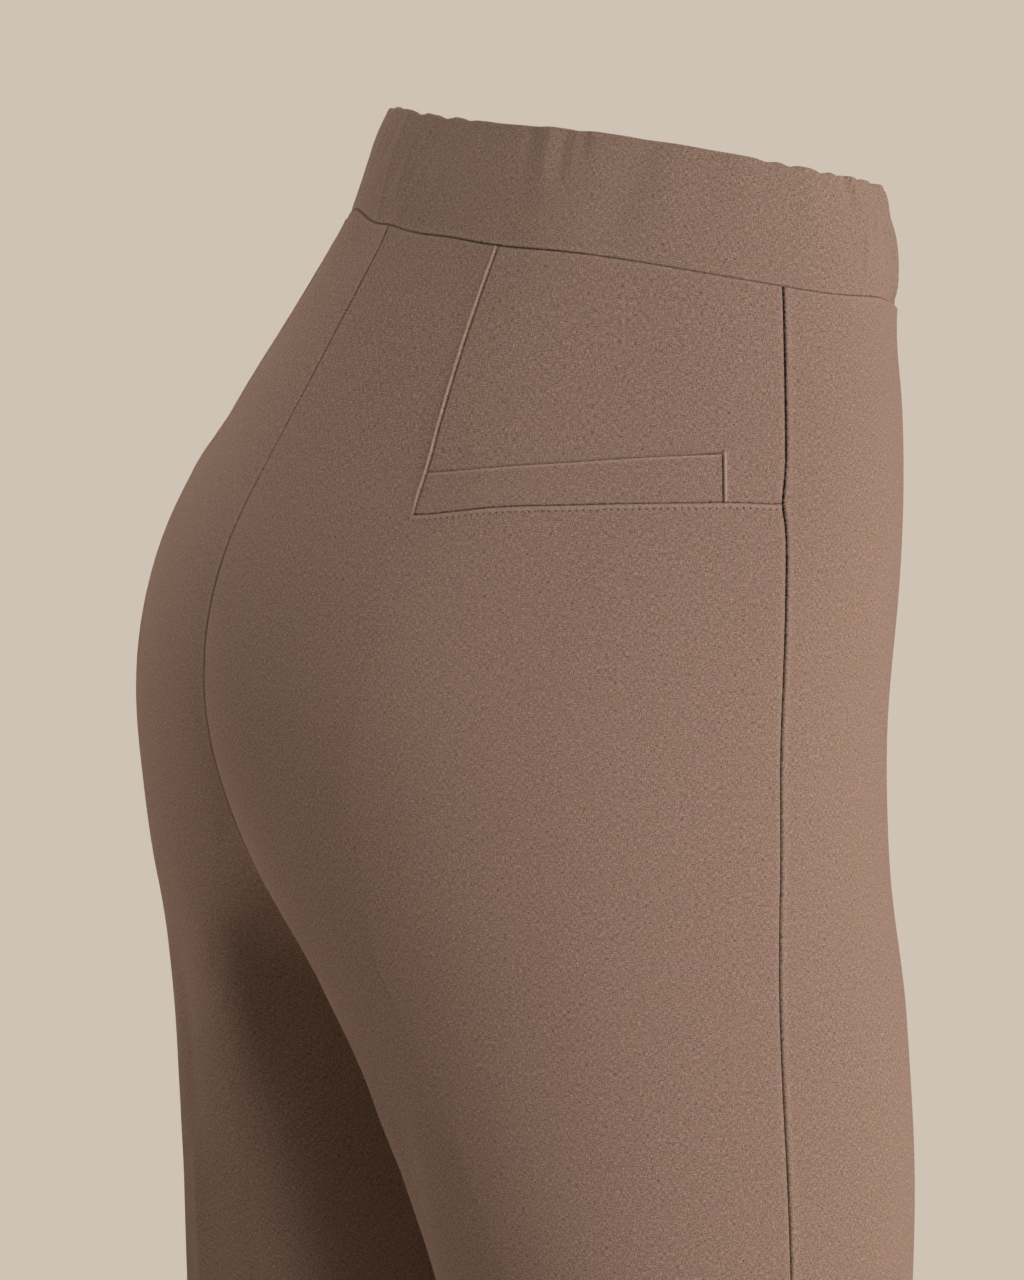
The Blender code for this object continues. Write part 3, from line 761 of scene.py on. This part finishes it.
def yokeLift(section, lengths, place):
    drop = section.drop
    relief = Relief(place, drop)
    relief.sew("underPrincess", lengths - yokeStart(section), drop, 0.2)
    relief.sew("side", sideEdge(section) - halfGap - lengths, drop, 4.1)
    relief.sew("band", drop - bandTop, place, 2.0, bandSeamShare(place))
    relief.sew("underLevel", yokeBottom - drop, place, 0.6)
    look = weltLook
    past = look["end"] - place      # past the front end of the welt
    above = yokeBottom - look["height"] - drop
    reach = look["cornerReach"]
    beside = ease(1 - past / 1.2) * ease(0.5 - above / 0.9)
    tuck = np.exp(-((past - look["tuckAt"]) / look["tuckWidth"]) ** 2) * ease(1 - (above + 0.5) / 1.5)
    point = np.exp(-((past - 0.5 - 0.7 * above) / 0.9) ** 2)
    point = point * ease(1 - above / reach) * ease(1 + above / 2)
    relief.height = relief.height - look["sink"] * beside
    relief.height = relief.height + look["endRidge"] * tuck + look["cornerPull"] * point
    # painted highlight on the tuck, painted shade under the mouth and beside the front end
    relief.light = np.minimum(relief.light, -look["tuckLight"] * tuck)
    shadow = look["topShade"] * np.exp(-((above - 0.25) / 0.35) ** 2) * ease(1 - past / 0.8)
    shadow = shadow * (0.55 + 0.45 * ease(1 + (past + 1) / 12))     # darkest at the front end
    endShadow = look["endShade"] * np.exp(-((past - 0.15) / 0.35) ** 2) * ease(1 - above / 1.6)
    relief.dark = np.maximum(relief.dark, np.maximum(shadow, endShadow))
    return relief.result()


def makeYoke(name, side):
    top = yokeBottom - weltLook["height"]
    fine = top + np.array([-8, -6.4, -5, -3.8, -2.8, -2, -1.4, -0.9, -0.5, -0.15, 0.3, 0.8, 1.6, 3])
    return makePanel(name, side, together(stripRows, fine), yokeLengths, yokeLift, sewing["clothWall"])


def yokeLengths(section):       # closer columns round the end of the welt
    weltEnd = section.sideSeam - weltLook["end"]
    first = spread(yokeStart(section), weltEnd - 4, panelPitch["column"], endEdge=False,
                   reference=countedOver["yoke"])
    around = weltEnd + np.array([-4, -2.4, -1.2, -0.5, -0.15, 0.15, 0.4, 0.7, 1.0, 1.3, 1.7, 2.4, 4, 6])
    end = sideEdge(section) - halfGap
    last = spread(weltEnd + 6, end, panelPitch["column"], startEdge=False,
                  reference=countedOver["yokeEnd"])
    return np.concatenate([first[:-1], around, last[1:]])


def makeWelt(name, side):
    look = weltLook
    top = yokeBottom - look["height"]
    rowDrops = top + np.array([0, 0.1, 0.25, 0.45, 0.7, 1.0, 1.5, 2.5, 4, 6, 8, 10, 11.5, 12.4,
                               13, 13.4, 13.65, 13.85, 14.0])

    def lengthsOf(section):
        start = yokeStart(section)
        end = section.sideSeam - look["end"]
        return spread(start, end, look["columnPitch"], reference=countedOver["welt"])

    def liftOf(section, lengths, place):
        relief = Relief(place, section.drop)
        above = section.drop - top
        inside = place - look["end"]
        relief.sew("underPrincess", lengths - yokeStart(section), section.drop, 0.9)
        relief.sew("underLevel", yokeBottom - section.drop, place, 1.7)
        relief.sew("underLevel", inside, section.drop, 0.3)
        edge = np.clip((look["foldRound"] - above) / look["foldRound"], 0, 1)
        down, back, front = look["mouthFade"]
        mouth = ease(1 - above / down) * ease((lengths - yokeStart(section)) / back) * ease(inside / front)
        out = look["lift"] + look["mouthLift"] * mouth
        out = out - look["foldRound"] * (1 - np.sqrt(1 - 0.999 * edge ** 2))
        out = out + 0.05 * ripple(place / 2.6, 1.0)
        relief.height = relief.height + out
        # painted highlight along the folded top edge
        relief.light = np.minimum(relief.light, -look["edgeLight"] * np.exp(-((above - 0.5) / 0.4) ** 2))
        return relief.result()

    return makePanel(name, side, rowDrops, lengthsOf, liftOf, look["wall"])


# Topstitching along the level seam.
stitchLook = {
    "fromSeam": 1.75,
    "pitch": 2.35,
    "length": 1.6,
    "radius": 0.19,
    "sink": 0.02,
    "holeRadius": 0.34,
    "holeSink": 0.16,
    "start": -1.0,          # before the princess seam
    "end": 2.5,             # short of the side seam
}


def stitchPoints(side, look):
    # centre, direction along the seam and normal of each stitch
    section = Section(side, seatTop + look["fromSeam"])
    start = section.sideSeam - guideAt["back"](section.drop) + look["start"]
    end = section.sideSeam - look["end"]
    centres = np.arange(start, end, look["pitch"])
    points, normals = surfaceRow(side, section.drop, centres)
    ahead, _ = surfaceRow(side, section.drop, centres + 0.5)
    way = ahead - points
    way /= np.linalg.norm(way, axis=1)[:, None]
    height, _ = seamAt("level", look["fromSeam"])
    return points + height * normals, way, normals


def addCapsules(bm, points, ways, normals, halfLength, radius, sink, materialIndex):
    rings, sides = 5, 6
    for point, way, normal in zip(points, ways, normals):
        across = np.cross(way, normal)
        loops = []
        for i in range(rings):
            angle = math.pi * (i + 0.5) / rings
            centre = point + way * (-halfLength * math.cos(angle)) + normal * sink
            reach = radius * math.sqrt(max(math.sin(angle), 0.05))
            turns = np.linspace(0, 2 * math.pi, sides, endpoint=False)
            corners = [centre + reach * (math.cos(t) * across + math.sin(t) * normal) for t in turns]
            loops.append([bm.verts.new(corner * mm) for corner in corners])
        for low, high in zip(loops, loops[1:]):
            for k in range(sides):
                face = bm.faces.new([low[k], low[(k + 1) % sides], high[(k + 1) % sides], high[k]])
                face.material_index = materialIndex
        for loop in (loops[0], loops[-1]):
            face = bm.faces.new(loop)
            face.material_index = materialIndex


def makeStitches(name, side):
    look = stitchLook
    points, ways, normals = stitchPoints(side, look)
    bm = bmesh.new()
    hole = look["holeRadius"]
    addCapsules(bm, points, ways, normals, look["length"] / 2, look["radius"], -look["sink"], 0)
    between = (points[:-1] + points[1:]) / 2
    # dark capsules sunk between the stitches: painted shade in the needle holes
    addCapsules(bm, between, ways[:-1], normals[:-1], hole, hole, -look["holeSink"], 1)
    bmesh.ops.recalc_face_normals(bm, faces=bm.faces)
    layer = bm.loops.layers.uv.new("cloth")
    for face in bm.faces:
        for loop in face.loops:
            loop[layer].uv = (loop.vert.co.x + loop.vert.co.y, loop.vert.co.z)
    mesh = bpy.data.meshes.new(name)
    bm.to_mesh(mesh)
    bm.free()
    mesh.shade_smooth()
    mesh.materials.append(thread)
    mesh.materials.append(needleHoleShade)
    piece = newObject(name, mesh)
    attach(piece, "root")
    return piece


# Waistband: doubled cloth, folded over at the top, gathered on its elastic.
bandLook = {
    "proud": 0.5,
    "inside": -1.9,
    "layer": 0.8,           # each of its two layers of cloth
    "topRound": 1.2,
    "pitch": 1.3,           # mm from column to column
    "rowPitch": 1.7,
    "tuckedIn": 0.7,        # the outside draws in towards the seam
    "gatherShare": 1.9,     # how deep the gathers below are drawn
    "notchReach": 5.0,      # how far down the dips of the top edge are felt
}
# Gathers of the elastic, as lines on the band: place at the top edge, place at the
# seam, width, height, drop at which it begins, drop at which it has gone.
gathers = {
    "right": [
        (165, 168, 1.5, 0.45, -9, 34), (156, 160, 1.3, 0.5, -9, 46),
        (143, 158, 1.4, 0.45, -6, 48), (149, 149, 4.0, -0.45, -9, 30),
        (133, 143, 2.4, 0.3, 14, 48), (121, 128, 3.0, 0.25, -9, 26), (96, 94, 5.0, -0.5, -9, 26),
        (81, 78, 4.2, -0.45, -9, 24), (73, 72, 3.2, -0.35, -9, 20), (89, 88, 4.0, 0.25, -9, 22),
        (47, 60, 7.0, -0.5, -9, 44), (36, 42, 9.0, 0.4, -9, 40), (14, 16, 6.0, 0.25, -9, 30),
        (-13, -10, 5.0, 0.25, -9, 26), (-31, -33, 2.2, -0.7, -9, 15),
        (-37, -37, 2.4, 0.4, -9, 24), (-43, -38, 1.2, 0.45, 0, 40), (-50, -48, 1.1, 0.5, 5, 26),
        (-88, -92, 32, -0.9, 2, 52), (-60, -56, 2.4, -0.5, -9, 34), (-68, -66, 2.2, 0.5, -9, 40),
        (-80, -76, 2.6, -0.5, -9, 30), (-88, -90, 2.0, 0.6, -9, 44),
        (-99, -96, 2.4, -0.5, -9, 28), (-108, -109, 1.8, 0.6, -9, 36),
        (-120, -117, 2.6, -0.6, -9, 40), (-129, -131, 2.0, 0.6, -9, 46),
        (-141, -139, 2.6, -0.6, -9, 30), (-150, -152, 1.8, 0.6, -9, 40),
        (-161, -158, 2.4, -0.5, -9, 34), (-169, -170, 2.0, 0.6, -9, 44),
    ],
    "left": [
        (-163, -160, 2.2, 0.5, -9, 30), (-154, -156, 2.6, -0.6, -9, 38),
        (-144, -142, 1.8, 0.6, -9, 44), (-134, -136, 2.4, -0.5, -9, 28),
        (-123, -120, 2.0, 0.6, -9, 40), (-113, -114, 2.6, -0.6, -9, 34),
        (-102, -104, 1.8, 0.5, -9, 46), (-92, -89, 2.4, -0.5, -9, 26),
        (-82, -84, 2.2, 0.5, -9, 40), (-71, -70, 2.8, -0.5, -9, 32), (-60, -62, 2.0, 0.5, -9, 38),
        (-48, -46, 3.2, -0.5, -9, 26), (-38, -40, 2.6, 0.4, -9, 40),
        (-22, -21, 5.0, -0.35, -9, 28), (4, 6, 6.5, 0.3, -9, 34), (30, 34, 8.0, -0.4, -9, 42),
        (52, 50, 6.0, 0.35, -9, 30), (69, 74, 4.0, -0.4, -9, 24), (84, 82, 4.4, 0.3, -9, 22),
        (99, 103, 5.0, -0.5, -9, 28), (116, 120, 3.2, 0.35, -9, 34),
        (129, 134, 3.6, -0.4, -9, 26), (138, 149, 1.6, 0.45, -9, 46),
        (150, 153, 3.4, -0.45, -9, 32), (158, 159, 1.5, 0.4, -9, 40),
    ],
}
# Small dips of the top edge between gathers: place, width, depth.
notches = {
    "right": [
        (4, 2.6, 0.7), (-5, 2.2, 0.8), (-18.5, 3.0, 1.0), (-27, 2.2, 0.7), (-40, 2.4, 0.9),
        (-55, 2.8, 0.9), (-73, 3.0, 1.0), (-93, 2.8, 0.8), (-114, 3.0, 1.0), (-135, 2.6, 0.8),
        (-156, 3.0, 1.0), (152, 3.0, 0.7), (134, 3.4, 0.6), (76, 3.0, 0.4),
    ],
    "left": [
        (-150, 2.8, 0.9), (-129, 3.0, 1.0), (-108, 2.6, 0.8), (-88, 3.0, 1.0), (-66, 2.8, 0.8),
        (-44, 3.0, 0.9), (-26, 2.4, 0.7), (-8, 2.6, 0.8), (12, 2.4, 0.6), (63, 3.4, 0.5),
        (92, 3.0, 0.6), (124, 2.8, 0.7), (146, 2.6, 0.6),
    ],
}


def ringPlace(side, place, half):       # one measure right round the band
    return place if side == "right" else half["back"] * 2 - place


def acrossRing(away, whole):            # shortest way round
    return (away + whole / 2) % whole - whole / 2


def rowsRound(table, half):     # the rows of both sides, with the way round the band
    for side in ("right", "left"):
        for row in table[side]:
            yield lambda place, side=side: ringPlace(side, place, half), row


def gatherAt(ring, half, drop):
    whole = 2 * (half["back"] + half["front"])
    depth = np.zeros_like(ring)
    for onRing, (top, low, width, height, start, end) in rowsRound(gathers, half):
        place = top + (low - top) * drop / bandHeight
        fade = ease((drop - start) / 8) * ease((end - drop) / 14)
        away = acrossRing(ring - onRing(place), whole)
        depth += bandLook["gatherShare"] * height * fade * np.exp(-(away / width) ** 2)
    return depth


def notchAt(ring, half, drop, reach):
    whole = 2 * (half["back"] + half["front"])
    dip = np.zeros_like(ring)
    for onRing, (place, width, depth) in rowsRound(notches, half):
        away = acrossRing(ring - onRing(place), whole)
        dip += depth * np.exp(-(away / width) ** 2)
    return dip * ease(1 - drop / reach)


def bandProfile(look):
    # rows of drop, distance out, share of the gathers, painted shade, in a ring round
    # both layers: down the outside, up and down between, and up the inside
    low = bandHeight - halfGap
    fold = look["topRound"]
    out, inside, layer = look["proud"], look["inside"], look["layer"]
    middle, reach = (out + inside) / 2, (out - inside) / 2
    rows = []
    for t in np.linspace(0.5, 1, 6):        # the fold, from its top to the outside
        rows.append((fold * (1 - math.sin(math.pi * t)), middle - reach * math.cos(math.pi * t), t, 0))
    for drop in spread(fold + 0.8, low, look["rowPitch"], startEdge=False):
        lift, dark = seamAt("band", low - drop)
        drawnIn = look["tuckedIn"] * ease((drop - low + 7) / 7)
        rows.append((drop, out - drawnIn + float(lift), 1.0, float(dark)))
    # painted shade on the faces between the two layers
    for drop in np.linspace(low, fold + 1, 9):
        rows.append((drop, out - layer - look["tuckedIn"] * (drop > low - 1), 0.5, 0.7))
    for drop in np.linspace(fold + 1, low, 9):
        rows.append((drop, inside + layer, 0.0, 0.3))
    for drop in np.linspace(low, fold + 0.8, 14):
        rows.append((drop, inside, 0.0, 0.0))
    for t in np.linspace(0, 0.5, 6)[:-1]:
        rows.append((fold * (1 - math.sin(math.pi * t)), middle - reach * math.cos(math.pi * t), t, 0))
    return rows


def makeBand(name):
    look = bandLook
    reference = Section("right", bandHeight / 2)
    half = {"back": reference.sideSeam - reference.backPeak,
            "front": reference.frontPeak - reference.sideSeam}
    shares = np.linspace(0, 1, round((half["back"] + half["front"]) / look["pitch"]) + 1)
    places = half["back"] - shares * (half["back"] + half["front"])
    rings, uv, shade = [], [], []
    for drop, out, gathered, dark in bandProfile(look):
        level = max(drop, 0.6)
        halves, around, darks = {}, {}, {}
        for side in ("right", "left"):
            section = Section(side, level)
            length = section.frontPeak - section.backPeak
            points, normals = surfaceRow(side, level, section.backPeak + shares * length)
            ring = ringPlace(side, places, half)
            depth = gathered * gatherAt(ring, half, drop)
            points = points + (out + depth)[:, None] * normals
            points[:, 2] += level - drop - notchAt(ring, half, drop, look["notchReach"])
            halves[side] = points
            around[side] = ring
            darks[side] = dark * bandSeamShare(places)
        rings.append(np.concatenate([halves["right"], halves["left"][-2:0:-1]]))
        across = np.concatenate([around["right"], around["left"][-2:0:-1]])
        uv.append(np.stack([across, np.full_like(across, drop)], 1) * mm)
        shade.append(np.concatenate([darks["right"], darks["left"][-2:0:-1]]))
    rings = np.array(rings)
    rowCount, columnCount = rings.shape[:2]
    index = np.arange(rowCount * columnCount).reshape(rowCount, columnCount)
    below = np.roll(index, -1, axis=0)
    faces = np.stack([index, below, np.roll(below, -1, 1), np.roll(index, -1, 1)], -1).reshape(-1, 4)
    return meshFromArrays(name, rings.reshape(-1, 3) * mm, faces,
                          np.array(uv).reshape(-1, 2), np.array(shade).ravel())


sides = ("right", "left")
band = makeBand("waistbandCloth")
finishPiece(band, "waistband", bandCrepe)
print("scene: waistband made")
for side in sides:
    title = side.capitalize()
    stitches = makeStitches("topstitch" + title, side)
    back = makeBack("back" + title + "Cloth", side)
    finishPiece(back, "back_" + side, crepe)
    yoke = makeYoke("yoke" + title + "Cloth", side)
    finishPiece(yoke, "yoke_" + side, crepe)
    welt = makeWelt("welt" + title + "Cloth", side)
    finishPiece(welt, "welt_" + side, crepe)
    front = makeFront("front" + title + "Cloth", side)
    finishPiece(front, "front_" + side, crepe)
    print("scene: " + side + " half made")

# Stage: a pale floor that fades into the backdrop colour.
stageLook = {
    "backdrop": "#cfc3b5",
    "fill": "#f4f1ee",      # what the studio's walls give back to the cloth
    "fillStrength": 0.05,
    "floor": "#faeddd",
    "floorRadius": 2.4,
    "fadeFrom": 0.5,        # shares of the radius
    "fadeTo": 0.98,
    "floorRoughness": 0.9,
    "floorSpecular": 0.1,
    "under": 0.012,         # the trousers hang this far above the floor
}
stageMiddle = (0.0, 0.03)


def makeFloor():
    bm = bmesh.new()
    bmesh.ops.create_circle(bm, cap_ends=True, segments=96, radius=stageLook["floorRadius"])
    mesh = bpy.data.meshes.new("floor")
    bm.to_mesh(mesh)
    bm.free()
    floor = newObject("floor", mesh)
    floor.location = (*stageMiddle, cadBox[0][2] - stageLook["under"])
    material, tree, shader = newMaterial("palePaintedFloor")
    # matt painted floor, faded out at its rim so that it has no edge
    place = addNode(tree, "ShaderNodeTexCoord")
    distance = addNode(tree, "ShaderNodeVectorMath", {"operation": "LENGTH"},
                       {0: place.outputs["Object"]})
    share = addNode(tree, "ShaderNodeMapRange",
                    {"From Min": stageLook["floorRadius"] * stageLook["fadeFrom"],
                     "From Max": stageLook["floorRadius"] * stageLook["fadeTo"],
                     "interpolation_type": "SMOOTHSTEP"}, {"Value": distance.outputs["Value"]})
    clear = addNode(tree, "ShaderNodeBsdfTransparent")
    blend = addNode(tree, "ShaderNodeMixShader", {},
                    {0: share.outputs["Result"], 1: shader.outputs[0], 2: clear.outputs[0]})
    tree.links.new(blend.outputs[0], tree.nodes["Material Output"].inputs["Surface"])
    shader.inputs["Base Color"].default_value = linear(stageLook["floor"])
    shader.inputs["Roughness"].default_value = stageLook["floorRoughness"]
    shader.inputs["Specular IOR Level"].default_value = stageLook["floorSpecular"]
    mesh.materials.append(material)


makeFloor()
world = bpy.data.worlds.new("studio")
world.use_nodes = True
bpy.context.scene.world = world
studio = world.node_tree
fill = studio.nodes["Background"]
fill.inputs["Color"].default_value = linear(stageLook["fill"])
fill.inputs["Strength"].default_value = stageLook["fillStrength"]
backdrop = addNode(studio, "ShaderNodeBackground", {"Color": linear(stageLook["backdrop"])})
rays = addNode(studio, "ShaderNodeLightPath")       # the backdrop is lit apart from the room
seen = addNode(studio, "ShaderNodeMixShader", {},
               {0: rays.outputs["Is Camera Ray"], 1: fill.outputs[0], 2: backdrop.outputs[0]})
studio.links.new(seen.outputs[0], studio.nodes["World Output"].inputs["Surface"])

# Camera at the photo's point of view.
view = {"azimuth": 245.0, "elevation": 6.5, "distance": 3.0, "lens": 241.0,
        "target": (0.0015, 0.0495, -0.1715)}


def direction(azimuth, elevation):      # from the object towards a viewer there
    a, e = math.radians(azimuth), math.radians(elevation)
    return Vector((math.sin(a) * math.cos(e), -math.cos(a) * math.cos(e), math.sin(e)))


def aim(item, azimuth, elevation, distance, target):
    way = direction(azimuth, elevation)
    item.location = Vector(target) + way * distance
    item.rotation_euler = way.to_track_quat("Z", "Y").to_euler()


cameraData = bpy.data.cameras.new("camera")
cameraData.sensor_fit = "AUTO"
cameraData.sensor_width = 36.0
cameraData.lens = view["lens"]
cameraData.clip_end = 60.0
camera = newObject("camera", cameraData)
aim(camera, view["azimuth"], view["elevation"], view["distance"], view["target"])
bpy.context.scene.camera = camera

# name, azimuth, elevation, distance, size, watts, colour, height aimed at, beam in degrees
lights = [
    ("key", 284.0, 5.0, 3.0, 1.8, 84.0, "#fffdfc", -0.25, 180),
    ("top", 272.0, 50.0, 3.0, 1.8, 28.0, "#fffdfc", -0.25, 180),
    ("rim", 141.0, 16.0, 3.0, 1.8, 23.0, "#fff4ea", -0.25, 180),
    ("rimOnSeat", 141.0, 16.0, 3.0, 0.5, 0.47, "#fff4ea", -0.13, 12),   # its grid keeps it off the legs
]
for name, azimuth, elevation, distance, size, watts, colour, height, beam in lights:
    data = bpy.data.lights.new(name, "AREA")
    data.shape = "DISK"
    data.size = size
    data.energy = watts
    data.spread = math.radians(beam)
    data.color = linear(colour)[:3]
    aim(newObject(name, data), azimuth, elevation, distance, (*stageMiddle, height))
bpy.context.scene.view_settings.view_transform = "Standard"
print("scene: stage, camera and lights set")
